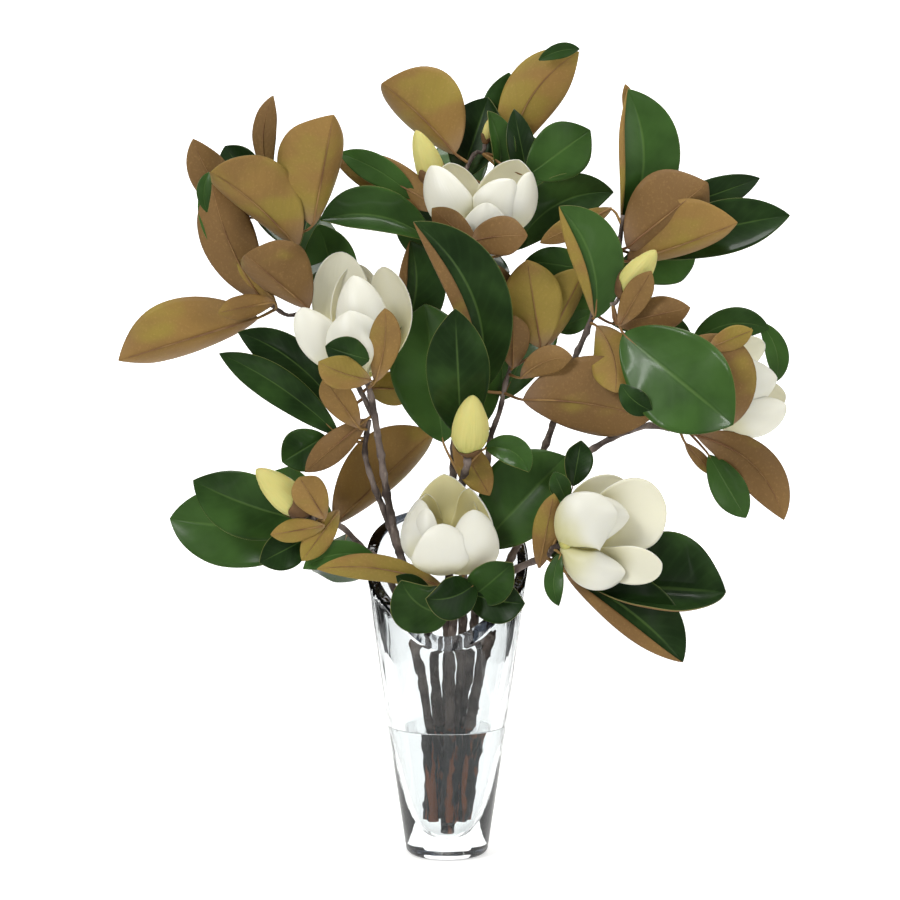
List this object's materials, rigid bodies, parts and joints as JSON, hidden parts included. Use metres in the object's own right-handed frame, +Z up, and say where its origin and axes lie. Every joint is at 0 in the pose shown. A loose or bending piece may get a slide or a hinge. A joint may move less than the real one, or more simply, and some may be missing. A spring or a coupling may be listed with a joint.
{
  "type": "magnolia branches in a glass vase",
  "caption": "Cut magnolia branches with glossy two-tone leaves, open cream blooms and pale buds, standing in a tall clear tapered glass vase part filled with water.",
  "frame": {"origin": "centre of the vase's flat foot, where it stands", "axes": "+Z up; -Y toward the arrangement's front, where the rim is lowest; +X to the right seen from the front"},
  "size_m": [0.675, 0.2502, 0.8073],
  "materials": {
    "glass": "clear and polished",
    "water": "clear liquid",
    "leafy_wood": "glossy green leaves with brown felted undersides on grey-brown bark",
    "petal": "waxy ivory, soft sheen",
    "bud": "pale yellow-green, matte"
  },
  "bodies": {
    "root": {"vase": "glass", "water": "water", "left_branch": "leafy_wood", "low_left_branch": "leafy_wood", "middle_branch": "leafy_wood", "front_branch": "leafy_wood", "low_right_branch": "leafy_wood", "right_top_branch": "leafy_wood", "right_branch": "leafy_wood", "back_branch": "leafy_wood", "front_bloom": "petal", "low_right_bloom": "petal", "left_bloom": "petal", "top_bloom": "petal", "right_bloom": "petal", "top_bud": "bud", "small_top_bud": "bud", "right_top_bud": "bud", "middle_bud": "bud", "low_left_bud": "bud"}
  },
  "joints": []
}
